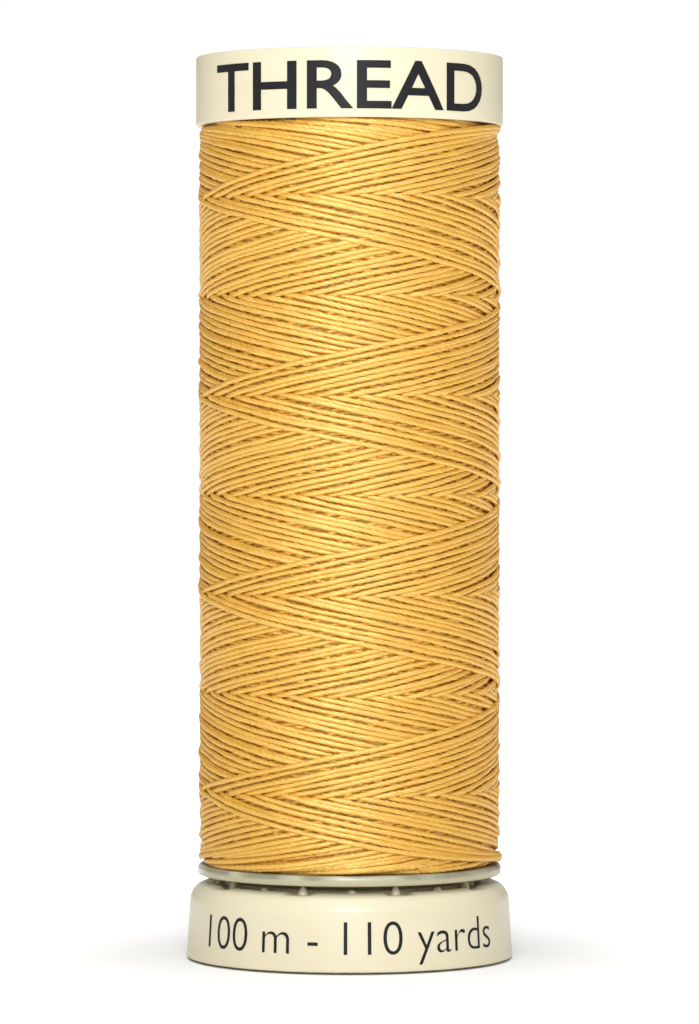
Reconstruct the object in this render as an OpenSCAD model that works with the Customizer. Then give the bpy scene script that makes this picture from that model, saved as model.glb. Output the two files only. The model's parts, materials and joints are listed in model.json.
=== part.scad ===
// Spool of sewing thread with a snap foot.
// A barrel with two flanges carries the winding, a cap closes the head, and a toothed foot
// slides on the barrel's lower end: closed, its teeth trap the thread's end under the flange.
// Millimetres, +Z up along the spool's axis, origin on the table under the middle of the foot.
// The foot is drawn closed.

/* [Overall] */
// Height of the spool standing on its foot
spool_h = 55.5; // [50:0.5:65]
// Thickness of the moulded walls
wall = 1; // [0.8:0.05:1.1]
// Diameter of the hole for the sewing machine's spool pin
pin_bore_d = 7; // [6.6:0.1:7.2]

/* [Barrel] */
// Outside diameter of the tube under the winding
barrel_d = 13; // [12.8:0.1:14]
// Inside diameter of that tube
barrel_bore_d = 11; // [10.8:0.1:11.2]
// Diameter of the lower flange, the disc under the winding
flange_d = 18.7; // [18.4:0.1:19]
// Thickness of the lower flange
flange_t = 0.64; // [0.5:0.02:1]

/* [Winding] */
// Diameter over the wound thread
winding_d = 18.54; // [16:0.02:18.6]

/* [Head] */
// Outside diameter of the head cap
head_d = 18.9; // [18.8:0.1:20]
// Height of the head cap's band
head_h = 4.2; // [3.6:0.1:6]
// Length of the sleeve that guides the pin in the head
head_sleeve_l = 11; // [8:0.5:16]

/* [Foot] */
// Diameter of the foot where it stands on the table
foot_d = 20.1; // [19.8:0.1:22]
// Height of the foot's rim
foot_h = 4.7; // [4.4:0.1:6]
// Radius of the rounded shoulder
shoulder_r = 1.15; // [0.8:0.05:1.3]
// Gap between the closed foot's rim and the lower flange
thread_gap = 0.53; // [0.4:0.01:0.8]
// Distance the foot pulls down to open
foot_travel = 2.5; // [1.5:0.1:3]
// Number of pairs of one tall and one short tooth
tooth_pairs = 9; // [7:1:10]

/* [Hidden] */

$fn = 96;
cream = [0.93, 0.90, 0.76];
natural = [0.84, 0.82, 0.70];
mustard = [0.88, 0.66, 0.26];
paper = [0.95, 0.94, 0.88];

seat_clear = 0.03;   // between faces that meet but aren't bonded
slide_clear = 0.1;   // between the foot's parts and the barrel they slide in

// Barrel
barrel_r = barrel_d / 2;
bore_r = barrel_bore_d / 2;
flange_z = foot_h + thread_gap;
flange_top_z = flange_z + flange_t;
flange_edge_r = 0.16;
head_z = spool_h - head_h;
cap_under_z = spool_h - wall;
barrel_top_z = cap_under_z - seat_clear;
upper_flange_t = 0.8;

// Four keys run down the inside of the barrel, between the snap fingers, so that the foot
// slides and doesn't turn
key_count = 4;
key_w = 1.6;
key_r = bore_r - 0.75;
key_top_z = head_z - 7;

// Snap fingers on the foot, with a barb that travels in a groove inside the barrel
finger_arc = 48;
finger_r = bore_r - slide_clear;
finger_t = 0.7;
finger_top_z = foot_h + 6;
barb_h = 0.9;
barb_reach = 0.35;
barb_band_h = 0.25;  // height of the barb's upright edge, under its sloping lead-in
groove_depth = 0.35;
groove_bottom_z = finger_top_z - barb_h - foot_travel - slide_clear;
groove_top_z = finger_top_z + slide_clear;

// Head cap
head_r = head_d / 2;
cap_inside_r = head_r - 0.95 * wall;
head_edge_r = 0.09;
spigot_t = 0.55;
spigot_l = 4;
spigot_clear = 0.02;
label_inside_r = 5;
label_outside_r = 8.6;
label_recess = 0.15;
label_t = 0.11;

// Sleeves around the pin
pin_r = pin_bore_d / 2;
sleeve_r = pin_r + 0.8;
mouth_chamfer = 0.3;
foot_sleeve_z = 0.4;
foot_sleeve_top_z = foot_h + 4.5;

// Foot
foot_r = foot_d / 2;
foot_draft = 0.28;    // how much narrower the wall is at the shoulder
foot_edge_r = 0.12;
shoulder_z = foot_h - shoulder_r;
rim_r = foot_r - foot_draft - shoulder_r;
plate_z = foot_h + 0.08;       // the plate inside the ring of teeth stands just proud of the rim
plate_slope_w = 0.15;
tooth_band_z = foot_h - 0.1;   // the band the teeth stand on lies just below the rim
skirt_inside_r = foot_r - wall;
rib_count = 8;
rib_t = 0.7;
rib_z = 0.9;
seat_inside_r = 5.6;
seat_outside_r = 6.35;

// Teeth
tooth_ring_r = rim_r - 0.5;
tooth_band_w = 0.8;
tooth_pitch = 360 / (2 * tooth_pairs);
front = -90;          // the front is towards -Y
short_tooth_phase = 1;   // the middle short tooth stands this far off the front
tooth_tip_clear = 0.06;
tall_tooth_d = 0.7;
tall_tooth_h = flange_z - tooth_band_z - tooth_tip_clear;
short_tooth_d = 0.64;
short_tooth_h = 0.66 * tall_tooth_h;

// Winding
winding_r = winding_d / 2;
winding_edge_r = 0.4;

// Points along an arc about c, from angle a0 to angle a1
function arc(c, r, a0, a1, n = 8) =
    [for (i = [0:n]) let (a = a0 + (a1 - a0) * i / n) [c.x + r * cos(a), c.y + r * sin(a)]];

module ring(inside_r, outside_r, z0, z1) {
    translate([0, 0, z0])
        difference() {
            cylinder(r = outside_r, h = z1 - z0);
            translate([0, 0, -1]) cylinder(r = inside_r, h = z1 - z0 + 2);
        }
}

// A tube for the pin, with its mouth chamfered at the end the pin meets
module pin_sleeve(z0, z1, mouth_at_top) {
    mouth_z = mouth_at_top ? z1 : z0;
    difference() {
        translate([0, 0, z0]) cylinder(r = sleeve_r, h = z1 - z0);
        translate([0, 0, z0 - 1]) cylinder(r = pin_r, h = z1 - z0 + 2);
        translate([0, 0, mouth_z]) mirror([0, 0, mouth_at_top ? 1 : 0])
            cylinder(r1 = pin_r + mouth_chamfer, r2 = pin_r, h = mouth_chamfer);
    }
}

// One pointed tooth with bulging sides
module tooth(d, h) {
    rotate_extrude()
        polygon(concat([[0, 0]], [for (i = [0:6]) [d / 2 * cos(i * 15), h * sin(i * 15)]]));
}

// Every second tooth of the ring, from one at this angle off the front
module tooth_row(d, h, first_angle) {
    for (i = [0:tooth_pairs - 1])
        rotate(front + first_angle + 2 * i * tooth_pitch)
            translate([tooth_ring_r, 0, tooth_band_z]) tooth(d, h);
}

// ---- barrel: one moulding, drawn as its tube, two flanges and keys ----

module barrel_tube() {
    color(natural)
        difference() {
            ring(bore_r, barrel_r, flange_z, barrel_top_z);
            translate([0, 0, groove_bottom_z])
                cylinder(r = bore_r + groove_depth, h = groove_top_z - groove_bottom_z);
        }
}

module lower_flange() {
    corner_r = flange_d / 2 - flange_edge_r;
    under = arc([corner_r, flange_z + flange_edge_r], flange_edge_r, -90, 0, 5);
    above = arc([corner_r, flange_top_z - flange_edge_r], flange_edge_r, 0, 90, 5);
    color(natural) rotate_extrude()
        polygon(concat([[barrel_r, flange_z]], under, above, [[barrel_r, flange_top_z]]));
}

module upper_flange() {
    color(natural) ring(barrel_r, cap_inside_r - slide_clear, head_z, head_z + upper_flange_t);
}

module barrel_keys() {
    color(natural)
        intersection() {
            ring(key_r, bore_r, flange_z, key_top_z);
            for (i = [0:key_count - 1])
                rotate((i + 0.5) * 360 / key_count)
                    translate([0, -key_w / 2, 0]) cube([barrel_r, key_w, spool_h]);
        }
}

// ---- head: a cap moulded with its spigot and pin sleeve, and a paper label ----

module head_cap() {
    label_floor_z = spool_h - label_recess;
    outer_corner = arc([head_r - head_edge_r, spool_h - head_edge_r], head_edge_r, 0, 90, 4);
    lower_lip = arc([head_r - head_edge_r, head_z + head_edge_r], head_edge_r, -90, 0, 4);
    color(cream) rotate_extrude()
        polygon(concat(
            [[cap_inside_r, head_z]], lower_lip, outer_corner,
            [[label_outside_r, spool_h], [label_outside_r, label_floor_z],
             [label_inside_r, label_floor_z], [label_inside_r, spool_h],
             [sleeve_r, spool_h], [sleeve_r, cap_under_z], [cap_inside_r, cap_under_z]]));
}

// The ring under the cap that is pressed into the barrel
module head_spigot() {
    spigot_r = bore_r - spigot_clear;
    color(cream) ring(spigot_r - spigot_t, spigot_r, cap_under_z - spigot_l, cap_under_z);
}

module head_pin_sleeve() {
    color(cream) pin_sleeve(spool_h - head_sleeve_l, spool_h, true);
}

module head_label() {
    label_z = spool_h - label_recess;
    color(paper) ring(label_inside_r + 0.1, label_outside_r - 0.1, label_z, label_z + label_t);
}

// ---- thread: the cross-wound package as one plain body ----

module thread_winding() {
    z0 = flange_top_z + seat_clear;
    z1 = head_z - seat_clear;
    corner_r = winding_r - winding_edge_r;
    color(mustard) rotate_extrude()
        polygon(concat([[barrel_r + seat_clear, z0]],
                       arc([corner_r, z0 + winding_edge_r], winding_edge_r, -90, 0),
                       arc([corner_r, z1 - winding_edge_r], winding_edge_r, 0, 90),
                       [[barrel_r + seat_clear, z1]]));
}

// ---- foot: one moulding, drawn as its shell, sleeve, ribs, seat, fingers and teeth ----

module foot_shell() {
    outer_edge = arc([foot_r - foot_edge_r, foot_edge_r], foot_edge_r, -90, 0, 5);
    shoulder = arc([rim_r, shoulder_z], shoulder_r, 0, 90, 12);
    band_r0 = tooth_ring_r - tooth_band_w / 2;
    band_r1 = tooth_ring_r + tooth_band_w / 2;
    color(cream) rotate_extrude()
        polygon(concat(
            [[skirt_inside_r, 0]], outer_edge, shoulder,
            [[band_r1, tooth_band_z], [band_r0, tooth_band_z],
             [band_r0 - plate_slope_w, plate_z], [sleeve_r, plate_z],
             [sleeve_r, plate_z - wall], [skirt_inside_r, plate_z - wall]]));
}

module foot_pin_sleeve() {
    color(cream) pin_sleeve(foot_sleeve_z, foot_sleeve_top_z, false);
}

module foot_ribs() {
    color(cream)
        intersection() {
            ring(sleeve_r, skirt_inside_r, rib_z, plate_z - wall);
            for (i = [0:rib_count - 1])
                rotate(i * 360 / rib_count)
                    translate([pin_r, -rib_t / 2, 0]) cube([foot_r, rib_t, foot_h]);
        }
}

module seat_ring() {
    color(cream) ring(seat_inside_r, seat_outside_r, plate_z, flange_z - seat_clear);
}

module snap_fingers() {
    inside_r = finger_r - finger_t;
    barb_r = finger_r + barb_reach;
    barb_z = finger_top_z - barb_h;
    color(cream)
        for (i = [0:key_count - 1])
            rotate(i * 360 / key_count - finger_arc / 2)
                rotate_extrude(angle = finger_arc)
                    polygon([[inside_r, plate_z], [finger_r, plate_z], [finger_r, barb_z],
                             [barb_r, barb_z], [barb_r, barb_z + barb_band_h],
                             [finger_r - barb_band_h, finger_top_z],
                             [inside_r, finger_top_z]]);
}

module tall_teeth() {
    color(cream) tooth_row(tall_tooth_d, tall_tooth_h, tooth_pitch);
}

module short_teeth() {
    color(cream) tooth_row(short_tooth_d, short_tooth_h, short_tooth_phase);
}

barrel_tube();
lower_flange();
upper_flange();
barrel_keys();
head_cap();
head_spigot();
head_pin_sleeve();
head_label();
thread_winding();
foot_shell();
foot_pin_sleeve();
foot_ribs();
seat_ring();
snap_fingers();
tall_teeth();
short_teeth();
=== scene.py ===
# A spool of sewing thread: mouldings with their print and paper label, and the wound thread.
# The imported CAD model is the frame. Lengths here are millimetres until a mesh is made.
# +Z runs up the spool's axis and the front is towards -Y.
import json
import math

import bmesh
import bpy
import numpy as np
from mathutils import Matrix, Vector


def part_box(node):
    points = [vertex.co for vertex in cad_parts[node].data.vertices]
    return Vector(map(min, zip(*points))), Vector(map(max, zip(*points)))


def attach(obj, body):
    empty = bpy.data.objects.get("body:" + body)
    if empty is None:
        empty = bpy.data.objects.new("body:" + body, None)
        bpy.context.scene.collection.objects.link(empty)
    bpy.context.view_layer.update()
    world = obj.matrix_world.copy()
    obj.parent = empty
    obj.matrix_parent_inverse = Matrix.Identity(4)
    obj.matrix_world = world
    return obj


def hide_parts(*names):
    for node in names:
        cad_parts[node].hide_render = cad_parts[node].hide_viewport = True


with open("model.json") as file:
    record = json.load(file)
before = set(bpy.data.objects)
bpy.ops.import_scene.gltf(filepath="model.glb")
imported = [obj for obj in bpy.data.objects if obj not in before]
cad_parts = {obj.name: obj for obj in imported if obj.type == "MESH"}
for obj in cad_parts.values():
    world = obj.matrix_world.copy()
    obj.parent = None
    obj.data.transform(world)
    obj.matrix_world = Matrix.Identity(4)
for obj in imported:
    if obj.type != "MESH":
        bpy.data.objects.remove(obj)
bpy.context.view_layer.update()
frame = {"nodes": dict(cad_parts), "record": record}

MM = 0.001


# ---------------------------------------------------------------- sizes taken from the frame

def outer_radius(node):
    """Radius of a round CAD node, in millimetres."""
    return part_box(node)[1][0] / MM


def bottom(node):
    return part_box(node)[0][2] / MM


def top(node):
    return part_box(node)[1][2] / MM


MOUNTS = {mount["name"]: mount for mount in frame["record"]["mounts"]}
PIN_R = MOUNTS["head_bore"]["dims"]["r_mm"]
SPOOL_H = top("head_cap")
HEAD_R = outer_radius("head_cap")
HEAD_Z = bottom("head_cap")
CAP_UNDER_Z = top("head_spigot")
SLEEVE_R = outer_radius("head_pin_sleeve")
BARREL_R = outer_radius("barrel_tube")
BORE_R = outer_radius("barrel_keys")
FLANGE_R = outer_radius("lower_flange")
FLANGE_Z = bottom("lower_flange")
FLANGE_TOP_Z = top("lower_flange")
WOUND_R = outer_radius("thread_winding")
WOUND_Z = bottom("thread_winding")
WOUND_TOP_Z = top("thread_winding")
FOOT_R = outer_radius("foot_shell")
FOOT_H = top("foot_shell")
SEAT_R = outer_radius("seat_ring")
SEAT_Z = top("seat_ring")
BAND_Z = bottom("tall_teeth")
TALL_TIP_Z = top("tall_teeth")
SHORT_TIP_Z = top("short_teeth")

# Sizes of the mouldings that no node's box gives
LABEL_R = 8.6
LABEL_HOLE_R = 5.0
LABEL_RECESS = 0.15
LABEL_GAP = 0.1                     # between the paper and the edges of its recess
HEAD_WALL = 0.95
SPIGOT_WALL = 0.55
EDGE = 0.12                         # radius of a small moulded edge
BORE_EDGE = 0.35                    # radius where the machine's pin goes in
FOOT_WALL = 1.0
FOOT_DRAFT = 0.28                   # the foot's wall leans in by this much over its height
SHOULDER_R = 1.15                   # radius of the arc from the foot's wall to its rim
RIM_R = FOOT_R - FOOT_DRAFT - SHOULDER_R
REBATE_H = 0.15                     # the foot's outer edge stands this far off the table
PLATE_Z = FOOT_H + 0.08             # the plate inside the teeth stands just proud of the rim
PLATE_R = RIM_R - 1.05
PLATE_UNDER_Z = PLATE_Z - FOOT_WALL
SEAT_WALL = 0.75
TOOTH_RING_R = RIM_R - 0.5
TOOTH_PAIRS = 9
SHORT_TOOTH_PHASE = math.radians(1)


# ---------------------------------------------------------------- camera, floor and lights

CAMERA_AT = (0, -300, 32.6)
CAMERA_LENS = 170.9
SENSOR_H = 36
LOOK_AT_Z = 27.54       # height at the axis that the camera points to


def add_camera():
    data = bpy.data.cameras.new("camera")
    data.sensor_fit = "VERTICAL"
    data.sensor_height = SENSOR_H
    data.lens = CAMERA_LENS
    data.clip_start = 10 * MM
    data.clip_end = 20
    camera = bpy.data.objects.new("camera", data)
    camera.location = [c * MM for c in CAMERA_AT]
    drop = math.atan2(CAMERA_AT[2] - LOOK_AT_Z, -CAMERA_AT[1])
    camera.rotation_euler = (math.pi / 2 - drop, 0, 0)
    bpy.context.scene.collection.objects.link(camera)
    bpy.context.scene.camera = camera


def add_area_light(name, at, size, power, colour):
    """A soft light at a place in millimetres, facing the middle of the spool."""
    data = bpy.data.lights.new(name, "AREA")
    data.shape = "RECTANGLE"
    data.size, data.size_y = [side * MM for side in size]
    data.energy = power
    data.color = colour
    light = bpy.data.objects.new(name, data)
    place = np.array(at, float)
    light.location = place * MM
    aim = np.array([0, 0, SPOOL_H / 2]) - place
    flat = math.hypot(aim[0], aim[1])
    light.rotation_euler = (math.atan2(flat, -aim[2]), 0, math.atan2(-aim[0], aim[1]))
    bpy.context.scene.collection.objects.link(light)


# Places of the factor, the two colours and the result on a Mix node that is set to colours
COLOUR_MIX_INPUTS = (0, 6, 7)
COLOUR_MIX_OUTPUT = 2


def add_world(front, side, back, overhead):
    """A white studio, by light level: front, side and back are around the spool, and overhead
    is added above it. The camera sees the back's white in every direction."""
    world = bpy.data.worlds.new("studio")
    bpy.context.scene.world = world
    world.use_nodes = True
    tree = world.node_tree
    towards = tree.nodes.new("ShaderNodeTexCoord")
    split = tree.nodes.new("ShaderNodeSeparateXYZ")
    tree.links.new(towards.outputs["Generated"], split.inputs[0])

    def levels(axis, stops):
        """Light level along one axis, from -1 to 1."""
        place = tree.nodes.new("ShaderNodeMapRange")
        place.inputs["From Min"].default_value = -1
        tree.links.new(split.outputs[axis], place.inputs["Value"])
        ramp = tree.nodes.new("ShaderNodeValToRGB")
        ramp.color_ramp.interpolation = "EASE"
        elements = ramp.color_ramp.elements
        for index, (position, level) in enumerate(stops):
            element = elements[index] if index < 2 else elements.new(position)
            element.position = (position + 1) / 2
            element.color = (level, level, level, 1)
        tree.links.new(place.outputs["Result"], ramp.inputs["Fac"])
        return ramp.outputs["Color"]

    total = tree.nodes.new("ShaderNodeVectorMath")
    total.operation = "ADD"
    around = levels("Y", [(-0.95, front), (-0.5, side), (0.93, side), (0.985, back)])
    above = levels("Z", [(0.3, 0.0), (0.9, overhead)])
    tree.links.new(around, total.inputs[0])
    tree.links.new(above, total.inputs[1])
    backdrop = tree.nodes.new("ShaderNodeMix")
    backdrop.data_type = "RGBA"
    factor, lighting, seen = [backdrop.inputs[index] for index in COLOUR_MIX_INPUTS]
    camera_ray = tree.nodes.new("ShaderNodeLightPath").outputs["Is Camera Ray"]
    tree.links.new(camera_ray, factor)
    tree.links.new(total.outputs[0], lighting)
    seen.default_value = (back, back, back, 1)
    tree.links.new(backdrop.outputs[COLOUR_MIX_OUTPUT], tree.nodes["Background"].inputs["Color"])


FLOOR_NEAR, FLOOR_FAR = 11, 45    # the floor's own light starts at one and is full at the other
FLOOR_GLOW = 0.6
FLOOR_SIDE = 12000


def studio_floor():
    """White floor that glows into the white behind it, with its true shade near the spool."""
    shader = Shader("floor_white", Roughness=0.9, Base_Color=(0.91, 0.91, 0.91, 1),
                    Emission_Color=(1, 1, 1, 1))
    away = shader.node("VectorMath", {"operation": "LENGTH"}, Vector=shader.position())
    glow = shader.node("MapRange", Value=away.outputs["Value"], From_Min=FLOOR_NEAR,
                       From_Max=FLOOR_FAR, To_Max=FLOOR_GLOW)
    shader.feed("Emission Strength", glow.outputs["Result"])
    return shader.material


def add_floor():
    half = FLOOR_SIDE / 2 * MM
    corners = [(x * half, y * half, 0) for x, y in ((-1, -1), (1, -1), (1, 1), (-1, 1))]
    mesh = bpy.data.meshes.new("floor")
    mesh.from_pydata(corners, [], [(0, 1, 2, 3)])
    mesh.materials.append(studio_floor())
    floor = bpy.data.objects.new("floor", mesh)
    bpy.context.scene.collection.objects.link(floor)


# ---------------------------------------------------------------- materials

class Shader:
    """A Principled material built node by node."""

    def __init__(self, name, **settings):
        self.material = bpy.data.materials.new(name)
        self.material.use_nodes = True
        self.tree = self.material.node_tree
        self.surface = self.tree.nodes["Principled BSDF"]
        for socket, value in settings.items():
            self.surface.inputs[socket.replace("_", " ")].default_value = value

    def node(self, kind, settings=None, **inputs):
        """A node of this kind; inputs are numbers, colours or sockets to link from."""
        new = self.tree.nodes.new("ShaderNode" + kind)
        for key, value in (settings or {}).items():
            setattr(new, key, value)
        for name, value in inputs.items():
            socket = new.inputs[name.replace("_", " ")]
            if isinstance(value, bpy.types.NodeSocket):
                self.tree.links.new(value, socket)
            else:
                socket.default_value = value
        return new

    def noise(self, vector, scale, detail=2.0, roughness=0.5):
        return self.node("TexNoise", Vector=vector, Scale=scale, Detail=detail,
                         Roughness=roughness).outputs["Fac"]

    def stretched(self, vector, scale):
        return self.node("Mapping", Vector=vector, Scale=scale).outputs["Vector"]

    def ramp(self, value, stops):
        """Colours or greys at positions from 0 to 1."""
        ramp = self.node("ValToRGB", Fac=value)
        elements = ramp.color_ramp.elements
        for index, (position, colour) in enumerate(stops):
            element = elements[index] if index < 2 else elements.new(position)
            element.position = position
            element.color = (*colour, 1) if len(colour) == 3 else (colour[0],) * 3 + (1,)
        return ramp.outputs["Color"]

    def mix(self, amount, a, b):
        """One colour at amount 0 and the other at 1."""
        mix = self.tree.nodes.new("ShaderNodeMix")
        mix.data_type = "RGBA"
        for index, value in zip(COLOUR_MIX_INPUTS, (amount, a, b)):
            socket = mix.inputs[index]
            if isinstance(value, bpy.types.NodeSocket):
                self.tree.links.new(value, socket)
            else:
                socket.default_value = value if isinstance(value, float) else (*value, 1)
        return mix.outputs[COLOUR_MIX_OUTPUT]

    def math(self, operation, a, b=0.0):
        node = self.tree.nodes.new("ShaderNodeMath")
        node.operation = operation
        for socket, value in zip(node.inputs, (a, b)):
            if isinstance(value, bpy.types.NodeSocket):
                self.tree.links.new(value, socket)
            else:
                socket.default_value = value
        return node.outputs[0]

    def bump(self, height, distance, strength=1.0):
        """Bump from a height, with its depth in millimetres."""
        node = self.node("Bump", Height=height, Distance=distance * MM, Strength=strength)
        self.feed("Normal", node.outputs["Normal"])

    def feed(self, socket, value):
        self.tree.links.new(value, self.surface.inputs[socket])

    def position(self):
        """Object coordinates in millimetres."""
        coordinates = self.node("TexCoord").outputs["Object"]
        return self.stretched(coordinates, (1 / MM,) * 3)


def moulded_plastic(name, colour, shade, roughness, subsurface):
    """Injection-moulded plastic: faint flow marks, a fine skin and a little light inside it."""
    shader = Shader(name, Subsurface_Weight=subsurface, Subsurface_Scale=0.6 * MM,
                    Subsurface_Radius=(1.0, 0.8, 0.5), IOR=1.5)
    place = shader.position()
    flow = shader.noise(shader.stretched(place, (0.12, 0.12, 0.5)), 1.0, 3.0)
    shader.feed("Base Color", shader.ramp(flow, [(0.3, shade), (0.7, colour)]))
    skin = shader.noise(place, 9.0, 4.0, 0.6)
    shader.feed("Roughness", shader.ramp(skin, [(0.3, (roughness - 0.05,)),
                                                (0.7, (roughness + 0.07,))]))
    shader.bump(shader.noise(place, 14.0, 3.0), 0.004)
    return shader.material


def unpigmented_plastic():
    """Milky glossy plastic with patchy gloss; towards the flange's top, light and dark patches of
    painted reflection.
    """
    shader = Shader("natural_plastic", Subsurface_Weight=0.2, Subsurface_Scale=0.6 * MM,
                    Subsurface_Radius=(1.0, 0.85, 0.55), IOR=1.5, Coat_Weight=0.1,
                    Coat_Roughness=0.25)
    place = shader.position()
    gloss_and_reflection_patches = shader.noise(place, 0.33, 2.0, 0.45)
    streaks = shader.noise(shader.stretched(place, (0.8, 0.8, 6.0)), 1.0, 3.0)
    # Painted reflection: light and dark patches for the colour of the flange's upper edge.
    edge = shader.ramp(gloss_and_reflection_patches, [(0.42, (0.26, 0.25, 0.17)), (0.58, (0.46, 0.44, 0.32))])
    height = shader.node("SeparateXYZ", Vector=place).outputs["Z"]
    upper = shader.node("MapRange", {"interpolation_type": "SMOOTHSTEP"}, Value=height,
                        From_Min=FLANGE_Z + 0.25, From_Max=FLANGE_TOP_Z - 0.2)
    body = shader.mix(streaks, (0.38, 0.35, 0.21), (0.44, 0.40, 0.25))
    # The painted reflection takes over from the plain body towards the top of the flange.
    shader.feed("Base Color", shader.mix(upper.outputs["Result"], body, edge))
    shader.feed("Roughness", shader.ramp(gloss_and_reflection_patches, [(0.4, (0.38,)), (0.6, (0.28,))]))
    shader.bump(streaks, 0.006)
    return shader.material


def printing_ink():
    shader = Shader("printing_ink", IOR=1.3)
    place = shader.position()
    speck = shader.noise(place, 20.0, 4.0, 0.7)
    shader.feed("Base Color", shader.ramp(speck, [(0.3, (0.006, 0.006, 0.007)),
                                                  (0.75, (0.016, 0.015, 0.016))]))
    shader.feed("Roughness", shader.ramp(speck, [(0.2, (0.42,)), (0.8, (0.6,))]))
    shader.bump(speck, 0.003)
    return shader.material


def label_paper():
    """Smooth label paper with one printed ring in the thread's colour."""
    shader = Shader("label_paper", Roughness=0.6, IOR=1.45)
    place = shader.position()
    split = shader.node("SeparateXYZ", Vector=place)
    across = shader.math("POWER", split.outputs["X"], 2.0)
    along = shader.math("POWER", split.outputs["Y"], 2.0)
    radius = shader.math("SQRT", shader.math("ADD", across, along))
    fibres = shader.noise(place, 3.5, 6.0, 0.75)
    paper = shader.ramp(fibres, [(0.3, (0.80, 0.79, 0.73)), (0.7, (0.90, 0.89, 0.84))])
    printed = shader.ramp(fibres, [(0.3, (0.60, 0.34, 0.05)), (0.7, (0.68, 0.40, 0.07))])
    ring_in_r, ring_out_r = LABEL_R - 1.15, LABEL_R - 0.45
    past_inside = shader.math("GREATER_THAN", radius, ring_in_r)
    before_outside = shader.math("LESS_THAN", radius, ring_out_r)
    ring = shader.math("MULTIPLY", past_inside, before_outside)
    shader.feed("Base Color", shader.mix(ring, paper, printed))
    shader.bump(fibres, 0.012)
    return shader.material


def sewing_thread():
    """Spun polyester: fibres that run with the plies, uneven dye, a soft sheen and painted shade
    in the grooves between plies. "fibre" holds the distance along the thread and the place around
    a ply; "groove" is 1 deep between two plies and 0 on their crests."""
    shader = Shader("sewing_thread", Roughness=0.36, IOR=2.6, Metallic=0.2,
                    Specular_Tint=(1.0, 1.0, 0.7, 1), Sheen_Weight=0.3, Sheen_Roughness=0.4,
                    Sheen_Tint=(1.0, 0.5, 0.2, 1), Subsurface_Weight=0.2,
                    Subsurface_Scale=0.1 * MM, Subsurface_Radius=(1.0, 0.6, 0.2))
    fibre = shader.node("Attribute", {"attribute_name": "fibre"}).outputs["Vector"]
    groove = shader.node("Attribute", {"attribute_name": "groove"}).outputs["Fac"]
    strands = shader.noise(shader.stretched(fibre, (1.8, 2.6, 2.6)), 1.0, 4.0, 0.7)
    dye = shader.noise(shader.stretched(fibre, (0.35, 0.3, 0.3)), 1.0, 3.0, 0.6)
    light = shader.mix(dye, (0.80, 0.455, 0.042), (0.84, 0.515, 0.056))
    dark = shader.mix(dye, (0.72, 0.345, 0.012), (0.76, 0.385, 0.016))
    amount = shader.ramp(strands, [(0.30, (0.0,)), (0.60, (1.0,))])
    crest = shader.mix(amount, dark, light)
    # Painted shade: where groove is 1 the colour turns towards a darker, deeper orange.
    shader.feed("Base Color", shader.mix(shader.math("MULTIPLY", groove, 0.7), crest,
                                         (0.71, 0.32, 0.012)))
    shader.bump(strands, 0.04)
    return shader.material


# ---------------------------------------------------------------- mesh helpers

def add_object(name, mesh, material, body, replaced=()):
    """A piece that rides on a body, in place of the CAD nodes it replaces."""
    piece = bpy.data.objects.new(name, mesh)
    bpy.context.scene.collection.objects.link(piece)
    mesh.materials.append(material)
    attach(piece, body)
    if replaced:
        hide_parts(*replaced)


def quad_mesh(name, points, quads, crease=None):
    """A smooth-shaded mesh from an array of points in millimetres and an array of quads.
    Edges that turn more than crease radians stay sharp."""
    mesh = bpy.data.meshes.new(name)
    mesh.vertices.add(len(points))
    mesh.vertices.foreach_set("co", (points * MM).astype(np.float32).ravel())
    mesh.loops.add(quads.size)
    mesh.loops.foreach_set("vertex_index", quads.astype(np.int32).ravel())
    mesh.polygons.add(len(quads))
    mesh.polygons.foreach_set("loop_start", np.arange(0, quads.size, 4, dtype=np.int32))
    mesh.update(calc_edges=True)
    mesh.validate()
    mesh.shade_smooth()
    if crease:
        mesh.set_sharp_from_angle(angle=crease)
    return mesh


def rounded(corners, step=math.radians(15)):
    """A closed outline through (r, z, fillet) corners, each fillet drawn as an arc."""
    outline = []
    for index, (r, z, fillet) in enumerate(corners):
        here = np.array([r, z], float)
        if not fillet:
            outline.append(here)
            continue
        back = np.array(corners[index - 1][:2]) - here
        ahead = np.array(corners[(index + 1) % len(corners)][:2]) - here
        back /= np.linalg.norm(back)
        ahead /= np.linalg.norm(ahead)
        half = math.acos(np.clip(back @ ahead, -1, 1)) / 2
        middle = back + ahead
        centre = here + middle / np.linalg.norm(middle) * fillet / math.sin(half)
        first = here + back * fillet / math.tan(half) - centre
        last = here + ahead * fillet / math.tan(half) - centre
        start = math.atan2(first[1], first[0])
        turn = math.remainder(math.atan2(last[1], last[0]) - start, 2 * math.pi)
        steps = max(3, math.ceil(abs(turn) / step))
        for angle in np.linspace(start, start + turn, steps + 1):
            outline.append(centre + fillet * np.array([math.cos(angle), math.sin(angle)]))
    return np.array(outline)


def lathe(name, outline, segments=288, shape=None):
    """A closed outline in (r, z) turned about the axis. shape(r, z, angle) may move z."""
    angle = np.linspace(0, 2 * math.pi, segments, endpoint=False)[None, :]
    r = np.repeat(outline[:, :1], segments, axis=1)
    z = np.repeat(outline[:, 1:], segments, axis=1)
    if shape:
        z = shape(r, z, angle)
    points = np.stack([r * np.sin(angle), -r * np.cos(angle), z], axis=-1).reshape(-1, 3)
    row, column = np.meshgrid(np.arange(len(outline)), np.arange(segments), indexing="ij")
    next_row = (row + 1) % len(outline)
    next_column = (column + 1) % segments
    quads = np.stack([row * segments + column, row * segments + next_column,
                      next_row * segments + next_column, next_row * segments + column], -1)
    return quad_mesh(name, points, quads.reshape(-1, 4), crease=math.radians(32))


# ---------------------------------------------------------------- mouldings

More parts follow.
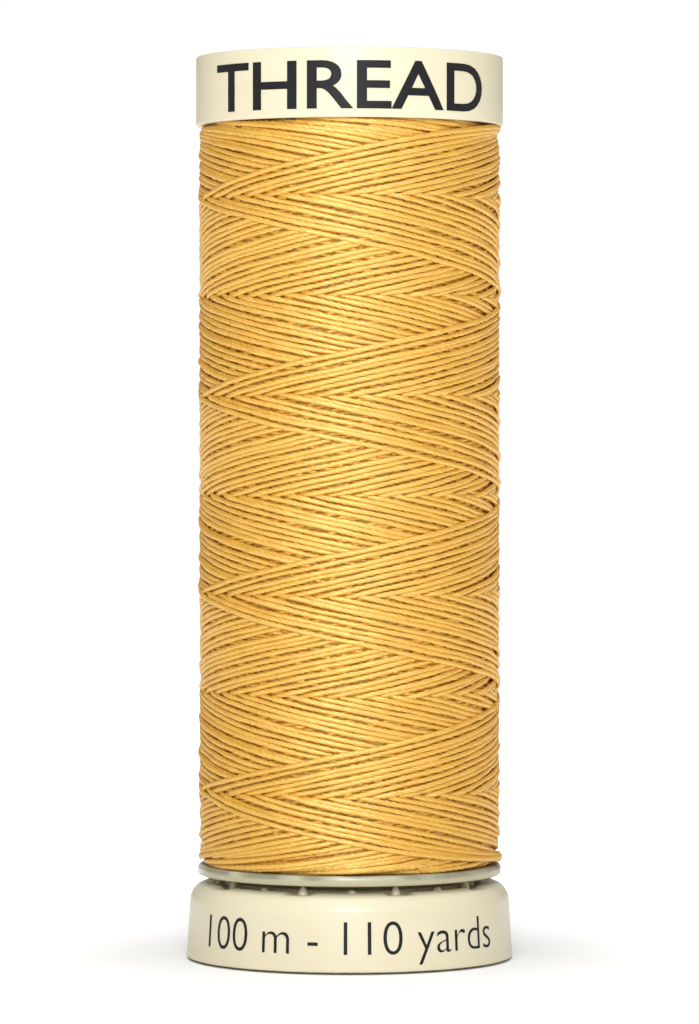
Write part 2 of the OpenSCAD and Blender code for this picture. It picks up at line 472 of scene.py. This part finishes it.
def make_head(plastic):
    """Cap, spigot and pin sleeve in one piece."""
    sleeve_z = bottom("head_pin_sleeve")
    spigot_z = bottom("head_spigot")
    spigot_r = outer_radius("head_spigot")
    spigot_in_r = spigot_r - SPIGOT_WALL
    cap_inside_r = HEAD_R - HEAD_WALL
    floor_z = SPOOL_H - LABEL_RECESS
    outline = rounded([
        (cap_inside_r, HEAD_Z, EDGE), (HEAD_R, HEAD_Z, 0.07), (HEAD_R, SPOOL_H, 0.09),
        (LABEL_R, SPOOL_H, 0.05), (LABEL_R, floor_z, 0.03), (LABEL_HOLE_R, floor_z, 0.03),
        (LABEL_HOLE_R, SPOOL_H, 0.05), (PIN_R, SPOOL_H, BORE_EDGE), (PIN_R, sleeve_z, EDGE),
        (SLEEVE_R, sleeve_z, EDGE), (SLEEVE_R, CAP_UNDER_Z, EDGE),
        (spigot_in_r, CAP_UNDER_Z, EDGE), (spigot_in_r, spigot_z, EDGE),
        (spigot_r, spigot_z, EDGE), (spigot_r, CAP_UNDER_Z, 0), (cap_inside_r, CAP_UNDER_Z, EDGE)])
    add_object("head_moulding", lathe("head_moulding", outline), plastic, "spool",
               ("head_cap", "head_spigot", "head_pin_sleeve"))


def make_label(paper):
    low, high = bottom("head_label"), top("head_label")
    in_r, out_r = LABEL_HOLE_R + LABEL_GAP, LABEL_R - LABEL_GAP
    outline = rounded([(in_r, low, 0), (out_r, low, 0), (out_r, high, 0.04), (in_r, high, 0.04)])
    add_object("head_label_paper", lathe("head_label_paper", outline), paper, "spool",
               ("head_label",))


BARB_GROOVE_DEPTH = 0.35
BARB_GROOVE_H = 3.6


def make_barrel(plastic):
    """Tube with its two flanges in one piece, and the groove for the foot's barbs."""
    groove_r = BORE_R + BARB_GROOVE_DEPTH
    groove_top_z = top("snap_fingers") + 0.1
    groove_z = groove_top_z - BARB_GROOVE_H
    upper_r = outer_radius("upper_flange")
    tube_top_z = top("barrel_tube")
    outline = rounded([
        (BORE_R, FLANGE_Z, 0.1), (FLANGE_R, FLANGE_Z, 0.16), (FLANGE_R, FLANGE_TOP_Z, 0.24),
        (BARREL_R, FLANGE_TOP_Z, EDGE), (BARREL_R, HEAD_Z, EDGE), (upper_r, HEAD_Z, EDGE),
        (upper_r, top("upper_flange"), EDGE), (BARREL_R, top("upper_flange"), EDGE),
        (BARREL_R, tube_top_z, EDGE), (BORE_R, tube_top_z, EDGE),
        (BORE_R, groove_top_z, 0), (groove_r, groove_top_z, 0), (groove_r, groove_z, 0),
        (BORE_R, groove_z, 0)])
    add_object("barrel_moulding", lathe("barrel_moulding", outline), plastic, "spool",
               ("barrel_tube", "lower_flange", "upper_flange"))


def tooth_angles(first):
    """Angles from the front to every second tooth: first is 0 for short teeth, 1 for tall."""
    pitch = math.pi / TOOTH_PAIRS
    phase = 0 if first else SHORT_TOOTH_PHASE
    return [phase + (2 * index + first) * pitch for index in range(TOOTH_PAIRS)]


# The notch in the rim at each tall tooth fades out between two half-widths and two radii
NOTCH_DEPTH = 0.16
NOTCH_HALF_W = (0.5, 1.0)
NOTCH_REACH = (RIM_R + 0.15, RIM_R + 0.7)
NOTCH_INSIDE_R = TOOTH_RING_R - 0.35


def eased_step(value, ends):
    """0 before the first end, 1 past the second, smooth between."""
    share = np.clip((value - ends[0]) / (ends[1] - ends[0]), 0, 1)
    return share * share * (3 - 2 * share)


def rim_with_notches(r, z, angle):
    """Lowers the rim a little in front of each tall tooth."""
    on_top = (z > BAND_Z - 0.3) & (r > NOTCH_INSIDE_R)
    dip = np.zeros_like(r)
    for tooth in tooth_angles(1):
        turn = np.remainder(angle - tooth + math.pi, 2 * math.pi) - math.pi
        across = TOOTH_RING_R * np.abs(turn)
        dip = np.maximum(dip, 1 - eased_step(across, NOTCH_HALF_W))
    return z - NOTCH_DEPTH * dip * (1 - eased_step(r, NOTCH_REACH)) * on_top


def make_foot(plastic):
    """Shell, pin sleeve and seat ring in one piece, with a notch in the rim at each tall tooth."""
    sleeve_z = bottom("foot_pin_sleeve")
    sleeve_top_z = top("foot_pin_sleeve")
    seat_in_r = SEAT_R - SEAT_WALL
    skirt_r = FOOT_R - FOOT_WALL
    band_in_r = TOOTH_RING_R - 0.4
    band_out_r = RIM_R - 0.3
    outline = rounded([
        (skirt_r, 0, 0.05), (skirt_r + 0.15, 0, 0.03), (skirt_r + 0.2, REBATE_H, 0.03),
        (FOOT_R, REBATE_H, 0.12), (FOOT_R - FOOT_DRAFT, FOOT_H, SHOULDER_R),
        (RIM_R - 0.1, FOOT_H, 0.08), (band_out_r, BAND_Z, 0.1), (band_in_r, BAND_Z, 0.1),
        (PLATE_R, PLATE_Z, 0.12), (SEAT_R, PLATE_Z, 0.1), (SEAT_R, SEAT_Z, 0.08),
        (seat_in_r, SEAT_Z, 0.08), (seat_in_r, PLATE_Z, 0.08), (SLEEVE_R, PLATE_Z, 0.08),
        (SLEEVE_R, sleeve_top_z, EDGE), (PIN_R, sleeve_top_z, EDGE), (PIN_R, sleeve_z, BORE_EDGE),
        (SLEEVE_R, sleeve_z, EDGE), (SLEEVE_R, PLATE_UNDER_Z, 0.3),
        (skirt_r, PLATE_UNDER_Z, 0.4)], math.radians(9))
    add_object("foot_moulding", lathe("foot_moulding", outline, 432, rim_with_notches), plastic,
               "foot", ("foot_shell", "foot_pin_sleeve", "seat_ring"))


def tooth_points(profile, at_angle, sides):
    """One tooth turned from a profile of (radius, z) and placed on the tooth ring."""
    around = np.linspace(0, 2 * math.pi, sides, endpoint=False)
    r, z = profile[:, :1], profile[:, 1:]
    x = r * np.cos(around) + TOOTH_RING_R * math.sin(at_angle)
    y = r * np.sin(around) - TOOTH_RING_R * math.cos(at_angle)
    return np.stack([x, y, np.repeat(z, sides, axis=1)], axis=-1).reshape(-1, 3)


TOOTH_FLARE = 0.25          # a tooth is this share wider where it meets the foot
TOOTH_FLARE_H = 0.08        # share of its height over which the flare dies away
TOOTH_ROOT = 0.25           # depth of the tooth sunk into the foot
TOOTH_POINT_R = 0.004
TALL_TOOTH_SINK = 0.15      # a tall tooth's foot stands this deep in the rim's notch


def make_teeth(name, node, first, tip_z, foot_z, width, taper, plastic):
    """A ring of teeth, each flaring a little where it meets the foot. A higher taper is more
    pointed."""
    sides, steps = 24, 12
    rise = np.linspace(0, 1, steps + 1)
    flare = 1 + TOOTH_FLARE * np.exp(-rise / TOOTH_FLARE_H)
    radius = width / 2 * (1 - rise ** 2) ** taper * flare
    radius[-1] = TOOTH_POINT_R
    height = foot_z + (tip_z - foot_z) * rise
    root_z = foot_z - TOOTH_ROOT
    profile = np.vstack([[TOOTH_POINT_R, root_z], [radius[0], root_z],
                         np.column_stack([radius, height])])
    rows = len(profile)
    points, quads = [], []
    for index, angle in enumerate(tooth_angles(first)):
        points.append(tooth_points(profile, angle, sides))
        row, column = np.meshgrid(np.arange(rows - 1), np.arange(sides), indexing="ij")
        ring = np.stack([row * sides + column, row * sides + (column + 1) % sides,
                         (row + 1) * sides + (column + 1) % sides, (row + 1) * sides + column], -1)
        quads.append(ring.reshape(-1, 4) + index * rows * sides)
    mesh = quad_mesh(name, np.concatenate(points), np.concatenate(quads), math.radians(50))
    close_holes(mesh)
    add_object(name, mesh, plastic, "foot", (node,))


def close_holes(mesh):
    """Fills each open ring of a mesh with one face."""
    edit = bmesh.new()
    edit.from_mesh(mesh)
    bmesh.ops.holes_fill(edit, edges=[edge for edge in edit.edges if edge.is_boundary], sides=0)
    edit.to_mesh(mesh)
    edit.free()


def finish_cad_node(node, plastic, bevel):
    """Gives a CAD node that stays a moulded finish and slightly rounded edges."""
    piece = frame["nodes"][node]
    for index in range(max(1, len(piece.material_slots))):
        piece.material_slots[index].material = plastic
    modifier = piece.modifiers.new("edge", "BEVEL")
    modifier.width = bevel * MM
    modifier.segments = 2
    modifier.limit_method = "ANGLE"
    modifier.angle_limit = math.radians(40)


# ---------------------------------------------------------------- print

INK_T = 0.015       # thickness of the printed ink above the plastic
INK_UNDER = 0.05    # depth of its closed back inside the plastic
PRINT_STRIPS = 90


def print_around(name, text, radius, base_z, cap_h, half_angle, weight, ink, body):
    """Flat lettering in Blender's own font, cut into narrow strips and wrapped round the front.
    radius gives the wall's radius at a height; half_angle is half of the angle that the text
    covers; weight thickens or thins the strokes."""
    curve = bpy.data.curves.new(name, "FONT")
    curve.body = text
    curve.size = 1
    curve.align_x = "CENTER"
    curve.offset = weight
    curve.extrude = 0.5
    curve.resolution_u = 6
    source = bpy.data.objects.new(name, curve)
    mesh = bpy.data.meshes.new_from_object(source)
    bpy.data.objects.remove(source)
    edit = bmesh.new()
    edit.from_mesh(mesh)
    bmesh.ops.remove_doubles(edit, verts=edit.verts, dist=1e-4)
    xs = [vert.co.x for vert in edit.verts]
    ys = [vert.co.y for vert in edit.verts]
    low, high, cap = min(xs), max(xs), max(ys)
    for cut in np.linspace(low, high, PRINT_STRIPS + 1)[1:-1]:
        geometry = edit.verts[:] + edit.edges[:] + edit.faces[:]
        bmesh.ops.bisect_plane(edit, geom=geometry, plane_co=(cut, 0, 0), plane_no=(1, 0, 0))
    for vert in edit.verts:
        angle = half_angle * (2 * (vert.co.x - low) / (high - low) - 1)
        height = base_z + cap_h * vert.co.y / cap
        away = radius(height) + (INK_T if vert.co.z > 0 else -INK_UNDER)
        vert.co = (away * math.sin(angle) * MM, -away * math.cos(angle) * MM, height * MM)
    bmesh.ops.recalc_face_normals(edit, faces=edit.faces)
    edit.to_mesh(mesh)
    edit.free()
    mesh.shade_smooth()
    mesh.set_sharp_from_angle(angle=math.radians(40))
    add_object(name, mesh, ink, body)


def head_wall_radius(z):
    """Outside radius of the head, the same at every height."""
    return HEAD_R


def foot_wall_radius(z):
    """Outside radius of the foot's tapering wall at a height."""
    return FOOT_R - FOOT_DRAFT * z / FOOT_H


# ---------------------------------------------------------------- the wound thread

# The guide rises PITCH in one turn of the spool and turns back near both ends. One double
# stroke takes just under 8 turns, so each strand lands beside the one laid a double stroke ago.
PITCH = 12.05
DOUBLE_STROKE = 7.97                    # turns
STROKES = 134
TURN_BACK_Z = 4.64                      # where the guide would turn back if it turned at once
TURN_BACK_EASE = (0.225, 0.275)         # least and most turns before the end at which it slows
NEWEST_AT_FRONT = 0.705                 # turns from the last double stroke's start to the front
STRAY = 0.05                            # how far a whole stroke lies off its place
WANDER = 0.018                          # height of each wave in a strand's path
WANDER_WAVES = (5.3, 9.7, 31, 57, 113)  # lengths of the waves
WANDER_FADE = 0.5                       # turns at a stroke's ends in which the waves die away
STRAND_HALF_W = 0.176
STRAND_HALF_H = 0.128
SQUASH = 0.10                           # how far a strand sinks into what it lies on
EACH_PRESS = 0.5
LAST_PRESSES = 3
PLY_TURN = 1.5                          # length of thread in which its plies go round once
RINGS_PER_PLY_TURN = 8
CIRCUMFERENCE = 2 * math.pi * WOUND_R
LEAN = math.atan(PITCH / CIRCUMFERENCE)

# The grids that hold the package's height: fine cells, and blocks of cells to smooth over
BLOCK = 8
ROW_BLOCKS = 114
COLUMN_BLOCKS = 146
ROWS = ROW_BLOCKS * BLOCK
COLUMNS = COLUMN_BLOCKS * BLOCK
CELL = (WOUND_TOP_Z - WOUND_Z) / ROWS
SMOOTHING = 1.5             # spread of the smoothing, in blocks
START_DEPTH = 0.8           # depth under the finished surface at which the winding starts
PACKAGE_CORNER = 0.3
PACKAGE_INSET = 0.05


def package_radius(z):
    """The finished package's radius, rounded off at both ends."""
    inward = np.clip(PACKAGE_CORNER - np.minimum(z - WOUND_Z, WOUND_TOP_Z - z), 0, PACKAGE_CORNER)
    corner = PACKAGE_CORNER - np.sqrt(PACKAGE_CORNER ** 2 - inward ** 2)
    return WOUND_R - PACKAGE_INSET - corner


def block_smoothing(blocks, wrap):
    """Matrix that smooths a row of blocks with a Gaussian."""
    apart = np.abs(np.arange(blocks)[:, None] - np.arange(blocks))
    if wrap:
        apart = np.minimum(apart, blocks - apart)
    weight = np.exp(-0.5 * (apart / SMOOTHING) ** 2)
    return weight / weight.sum(axis=1, keepdims=True)


def spread(blocks, axis):
    """Carries block values to cells along one axis, straight from one middle to the next.
    Axis 0 stops at the package's ends; axis 1 goes round."""
    count = blocks.shape[axis]
    place = (np.arange(count * BLOCK) + 0.5) / BLOCK - 0.5
    if axis == 0:
        place = np.clip(place, 0, count - 1)
    low = np.floor(place).astype(int)
    share = place - low
    share = share[:, None] if axis == 0 else share
    high = np.minimum(low + 1, count - 1) if axis == 0 else (low + 1) % count
    return blocks.take(low % count, axis) * (1 - share) + blocks.take(high, axis) * share


class WoundSurface:
    """Height of the package over a grid of cells, height along the spool by turns around it.
    The package is soft: high places are pressed in and low ones rise, smoothly, so it keeps
    which strand lies over which."""

    def __init__(self):
        self.height = np.full((ROWS, COLUMNS), WOUND_R - START_DEPTH)
        self.moved = np.zeros((ROWS, COLUMNS))
        self.smooth_rows = block_smoothing(ROW_BLOCKS, False)
        self.smooth_columns = block_smoothing(COLUMN_BLOCKS, True).T
        z = WOUND_Z + (np.arange(ROW_BLOCKS) + 0.5) * CELL * BLOCK
        self.target = package_radius(z)[:, None]

    def cells(self, turn, z):
        row = ((z - WOUND_Z) / CELL).astype(int)
        column = (turn % 1 * COLUMNS).astype(int)
        return np.clip(row, 0, ROWS - 1), np.clip(column, 0, COLUMNS - 1)

    def across(self, strand, offset):
        """Cells under a line that runs beside the strand's middle, offset from -1 to 1."""
        shift = offset * STRAND_HALF_W
        turn = strand["turn"] - strand["lean"] * shift * math.sin(LEAN) / CIRCUMFERENCE
        return self.cells(turn, strand["z"] + shift * math.cos(LEAN))

    def press(self, share):
        """Moves the surface this share of the way to the finished package's radius."""
        blocks = self.height.reshape(ROW_BLOCKS, BLOCK, COLUMN_BLOCKS, BLOCK).mean(axis=(1, 3))
        change = self.smooth_rows @ ((self.target - blocks) * share) @ self.smooth_columns
        change = spread(spread(change, 0), 1)
        self.height += change
        self.moved += change


HIGHEST_LEVEL = 0.10    # a strand may stand this far out of the package as it is
HIGHEST_ROOM = 0.10     # and anything higher is squeezed into this much more


def held_down(strand):
    """Keeps the loops that pile up near both ends from standing out of the package."""
    level = package_radius(strand["z"]) + HIGHEST_LEVEL - STRAND_HALF_H
    over = np.maximum(strand["r"] - level, 0)
    return strand["r"] - over + HIGHEST_ROOM * np.tanh(over / HIGHEST_ROOM)


def back_height(offset):
    """How far the strand's outline stands above its middle line."""
    return STRAND_HALF_H * math.sqrt(1 - offset * offset)


def guide_path(turns, h_start, h_end):
    """Height of the guide above its start over one stroke, easing round at both ends."""
    half = DOUBLE_STROKE / 2

    def eased(distance, ease):
        return np.where(distance > ease, distance, (distance ** 2 + ease ** 2) / (2 * ease))

    rising = PITCH * eased(turns, h_start)
    arriving = PITCH * (half - eased(half - turns, h_end))
    return np.where(turns < half / 2, rising, arriving)


def pulled_tight(along, contact):
    """Path of a taut thread over what it lies on: straight wherever it bridges a dip.
    A straight stretch on a drum rises as s^2 / 2R, so taking that away leaves a convex hull."""
    fall = along ** 2 / (2 * WOUND_R / math.cos(LEAN) ** 2)
    hull = []
    for point in zip(along.tolist(), (contact - fall).tolist()):
        while len(hull) > 1:
            (x0, y0), (x1, y1) = hull[-2:]
            if (y1 - y0) * (point[0] - x1) > (point[1] - y1) * (x1 - x0):
                break
            hull.pop()
        hull.append(point)
    hull = np.array(hull)
    return np.interp(along, hull[:, 0], hull[:, 1]) + fall


def wind_thread(surface, rng):
    """Lays the outermost strokes one by one and returns them as strands."""
    half = DOUBLE_STROKE / 2
    top_z = TURN_BACK_Z + PITCH * half
    stroke_length = half * CIRCUMFERENCE / math.cos(LEAN)
    count = int(stroke_length / PLY_TURN * RINGS_PER_PLY_TURN)
    turns = np.linspace(0, half, count)
    along = turns * CIRCUMFERENCE / math.cos(LEAN)
    first_turn = -NEWEST_AT_FRONT - (STROKES / 2 - 1) * DOUBLE_STROKE
    fade = np.clip(np.minimum(turns, half - turns) / WANDER_FADE, 0, 1)
    ease = rng.uniform(*TURN_BACK_EASE, STROKES + 1)
    strands = []
    for stroke in range(STROKES):
        rising = stroke % 2 == 0
        path = guide_path(turns, ease[stroke], ease[stroke + 1])
        z = TURN_BACK_Z + path if rising else top_z - path
        wander = rng.normal(0, STRAY)
        for wave, phase in zip(WANDER_WAVES, rng.uniform(0, 2 * math.pi, len(WANDER_WAVES))):
            wander = wander + WANDER * np.sin(2 * math.pi * along / wave + phase)
        strand = {"turn": first_turn + stroke * half + turns, "z": z + wander * fade,
                  "lean": 1 if rising else -1, "along": along + stroke * stroke_length}
        lay_strand(surface, strand)
        surface.press(EACH_PRESS)
        strands.append(strand)
    for _ in range(LAST_PRESSES):
        surface.press(1.0)
    for strand in strands:
        strand["r"] += surface.moved[surface.cells(strand["turn"], strand["z"])]
        strand["held"] = held_down(strand)
    join_strokes(strands)
    return strands


JOIN_RINGS = 12         # rings in which the step at a join shrinks to about a third


def join_strokes(strands):
    """Brings each stroke's end and the next one's start to one radius, easing over some rings."""
    for before, after in zip(strands, strands[1:]):
        step = (after["held"][0] - before["held"][-1]) / 2
        share = np.exp(-np.arange(len(after["held"])) / JOIN_RINGS)
        before["held"] += step * share[::-1]
        after["held"] -= step * share


# Lines beside a strand's middle, from -1 to 1: those that feel for the package under it and
# those that add it to the package, where cells must not be missed
FEELING_LINES = np.linspace(-1, 1, 11)
ADDING_LINES = np.linspace(-1, 1, 13)
ADDING_STEPS = 4            # steps along the strand for each ring of its mesh


def lay_strand(surface, strand):
    """Rests one strand on the package, pulls it tight and adds it to the surface. Its radius is
    kept as it would be on the unpressed package."""
    contact = np.full(len(strand["z"]), -np.inf)
    for offset in FEELING_LINES:
        under = surface.height[surface.across(strand, offset)]
        contact = np.maximum(contact, under + back_height(offset))
    strand["r"] = pulled_tight(strand["along"] - strand["along"][0], contact) - SQUASH
    whole = np.arange(len(contact))
    index = np.arange(whole[-1] * ADDING_STEPS + 1) / ADDING_STEPS
    track = {key: np.interp(index, whole, strand[key]) for key in ("turn", "z", "r")}
    track["lean"] = strand["lean"]
    for offset in ADDING_LINES:
        cells = surface.across(track, offset)
        np.maximum.at(surface.height, cells, track["r"] + back_height(offset))
    strand["r"] -= surface.moved[surface.cells(strand["turn"], strand["z"])]


SHOWING_LINES = np.linspace(-0.9, 0.9, 9)
SHOWING_DEPTH = 0.02    # a strand this little under the surface still shows
EXTRA_RINGS = 8         # rings kept past each end of what shows
FEWEST_RINGS = 4


def visible_runs(surface, strand):
    """Stretches of a strand that show, each a little longer than what shows."""
    shows = np.zeros(len(strand["z"]), bool)
    for offset in SHOWING_LINES:
        height = surface.height[surface.across(strand, offset)]
        shows |= strand["r"] + back_height(offset) > height - SHOWING_DEPTH
    kept = np.convolve(shows, np.ones(2 * EXTRA_RINGS + 1), "same") > 0.5
    edges = np.flatnonzero(np.diff(np.concatenate([[0], kept.astype(int), [0]])))
    runs = zip(edges[::2], edges[1::2])
    return [(start, stop) for start, stop in runs if stop - start >= FEWEST_RINGS]


# Around a ring of the strand's mesh: three crests with a groove between each two
RING_POINTS = 6
CREST_REACH = 1.07
GROOVE_REACH = 0.82
IS_GROOVE = np.arange(RING_POINTS) % 2 == 1
PLY_ANGLES = np.arange(RING_POINTS) * math.pi / 3
PLY_REACH = np.where(IS_GROOVE, GROOVE_REACH, CREST_REACH)
UNEVEN_STEP = 0.6       # length of thread from one random value to the next
UNEVEN_ROUND = 0.035    # spread of each outline point's reach
UNEVEN_THICK = 0.06     # spread of the strand's thickness, as a share of it
UNEVEN_TWIST = 0.03     # spread of its twist, in turns


class Unevenness:
    """Smooth random variation along the whole thread: each outline point, thickness, twist."""

    def __init__(self, rng, length):
        count = int(length / UNEVEN_STEP) + 3
        scale = [UNEVEN_ROUND] * RING_POINTS + [UNEVEN_THICK, UNEVEN_TWIST]
        self.values = rng.normal(0, 1, (count, len(scale))) * scale

    def at(self, along):
        place = along / UNEVEN_STEP
        index = place.astype(int)
        share = (place - index)[:, None]
        share = share * share * (3 - 2 * share)
        return self.values[index] * (1 - share) + self.values[index + 1] * share


def strand_rings(strand, start, stop, unevenness):
    """Points of a tube of three twisted plies along a run, and its fibre coordinates."""
    cut = slice(start, stop)
    angle = 2 * math.pi * strand["turn"][cut]
    outward = np.stack([np.sin(angle), -np.cos(angle), np.zeros_like(angle)], -1)
    middle = outward * strand["held"][cut, None]
    middle[:, 2] = strand["z"][cut]
    ahead = np.gradient(middle, axis=0)
    ahead /= np.linalg.norm(ahead, axis=1, keepdims=True)
    sideways = np.cross(ahead, outward)
    sideways /= np.linalg.norm(sideways, axis=1, keepdims=True)
    along = strand["along"][cut]
    uneven_round, uneven_thick, uneven_twist = np.split(
        unevenness.at(along), [RING_POINTS, RING_POINTS + 1], axis=1)
    twist = (uneven_twist - along[:, None] / PLY_TURN) * 2 * math.pi + PLY_ANGLES
    reach = (PLY_REACH + uneven_round) * (1 + uneven_thick)
    points = (middle[:, None, :]
              + (reach * np.cos(twist) * STRAND_HALF_W)[..., None] * sideways[:, None, :]
              + (reach * np.sin(twist) * STRAND_HALF_H)[..., None] * outward[:, None, :])
    fibre = np.empty_like(points)
    fibre[..., 0] = along[:, None]
    fibre[..., 1] = np.cos(PLY_ANGLES)
    fibre[..., 2] = np.sin(PLY_ANGLES)
    return points.reshape(-1, 3), fibre.reshape(-1, 3)


def tube_quads(rings, first):
    """Quads of a six-sided tube with both ends closed, numbered from its first point."""
    start, column = np.meshgrid(np.arange(rings - 1) * RING_POINTS, np.arange(RING_POINTS),
                                indexing="ij")
    after = start + RING_POINTS
    next_column = (column + 1) % RING_POINTS
    side = np.stack([start + column, after + column, after + next_column, start + next_column], -1)
    near = np.array([[0, 1, 2, 3], [0, 3, 4, 5]])
    far = near[:, ::-1] + RING_POINTS * (rings - 1)
    return np.concatenate([side.reshape(-1, 4), near, far]) + first


SEED = 7
FACES_PER_PIECE = 90000    # quads, so that each piece stays under 200,000 triangles


def set_thread_attributes(mesh, fibre, groove):
    """Stores what the thread's material reads at each point of a mesh."""
    vectors = mesh.attributes.new("fibre", "FLOAT_VECTOR", "POINT").data
    vectors.foreach_set("vector", fibre.astype(np.float32).ravel())
    depths = mesh.attributes.new("groove", "FLOAT", "POINT").data
    depths.foreach_set("value", groove.astype(np.float32))


def make_thread(material):
    """The whole winding: strands where they show, in several pieces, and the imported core."""
    rng = np.random.default_rng(SEED)
    surface = WoundSurface()
    strands = wind_thread(surface, rng)
    unevenness = Unevenness(rng, strands[-1]["along"][-1])
    points, fibres, quads = [], [], []
    point_count = quad_count = pieces = 0

    def finish_piece():
        nonlocal points, fibres, quads, point_count, quad_count, pieces
        pieces += 1
        name = f"thread_strands_{pieces}"
        mesh = quad_mesh(name, np.concatenate(points), np.concatenate(quads))
        fibre = np.concatenate(fibres)
        set_thread_attributes(mesh, fibre, np.tile(IS_GROOVE, len(fibre) // RING_POINTS))
        add_object(name, mesh, material, "spool", ("thread_winding",))
        points, fibres, quads = [], [], []
        point_count = quad_count = 0

    for strand in strands:
        for start, stop in visible_runs(surface, strand):
            ring_points, fibre = strand_rings(strand, start, stop, unevenness)
            points.append(ring_points)
            fibres.append(fibre)
            quads.append(tube_quads(stop - start, point_count))
            point_count += len(ring_points)
            quad_count += len(quads[-1])
        if quad_count > FACES_PER_PIECE:
            finish_piece()
    if points:
        finish_piece()
    make_thread_core(material)


CORE_DEPTH = 0.34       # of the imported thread's surface under the finished one
CORE_GAP = 0.03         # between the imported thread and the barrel
CORE_END_GAP = 0.02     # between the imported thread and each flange


def make_thread_core(material):
    """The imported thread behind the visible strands, down to the barrel."""
    z = np.linspace(WOUND_Z + CORE_END_GAP, WOUND_TOP_Z - CORE_END_GAP, 200)
    outside = np.column_stack([package_radius(z) - CORE_DEPTH, z])
    inside_r = BARREL_R + CORE_GAP
    outline = np.vstack([[inside_r, z[0]], outside, [inside_r, z[-1]]])
    mesh = lathe("thread_core", outline)
    count = len(mesh.vertices)
    place = np.empty(count * 3, np.float32)
    mesh.vertices.foreach_get("co", place)
    # groove is 1 at every point, so the whole core takes the thread's painted groove shade.
    set_thread_attributes(mesh, place / MM, np.ones(count))
    add_object("thread_core", mesh, material, "spool", ("thread_winding",))


# ---------------------------------------------------------------- the whole spool

def main():
    bpy.context.scene.view_settings.view_transform = "Standard"
    add_camera()
    add_floor()
    add_world(front=0.3, side=0.12, back=1.02, overhead=0.5)
    add_area_light("overhead_softbox", at=(-20, -187, 907), size=(360, 560), power=3.1,
                   colour=(1, 1, 1))
    add_area_light("front_light", at=(0, -750, 340), size=(200, 260), power=4.4,
                   colour=(0.97, 1.0, 1.06))

    cream = moulded_plastic("cream_plastic", colour=(0.69, 0.625, 0.44),
                            shade=(0.66, 0.595, 0.415), roughness=0.36, subsurface=0.1)
    natural = unpigmented_plastic()
    ink = printing_ink()
    make_head(cream)
    make_label(label_paper())
    make_barrel(natural)
    make_foot(cream)
    make_teeth("tall_foot_teeth", "tall_teeth", first=1, tip_z=TALL_TIP_Z,
               foot_z=BAND_Z - TALL_TOOTH_SINK, width=0.7, taper=0.75, plastic=cream)
    make_teeth("short_foot_teeth", "short_teeth", first=0, tip_z=SHORT_TIP_Z,
               foot_z=BAND_Z, width=0.66, taper=0.55, plastic=cream)
    for node in ("foot_ribs", "snap_fingers"):
        finish_cad_node(node, cream, bevel=0.08)
    finish_cad_node("barrel_keys", natural, bevel=0.08)
    print_around("head_print", "THREAD", head_wall_radius, base_z=HEAD_Z + 0.55, cap_h=2.85,
                 half_angle=math.radians(58), weight=0.012, ink=ink, body="spool")
    print_around("foot_print", "100 m - 110 yards", foot_wall_radius, base_z=1.2, cap_h=2.0,
                 half_angle=math.radians(59), weight=-0.011, ink=ink, body="foot")
    make_thread(sewing_thread())


main()
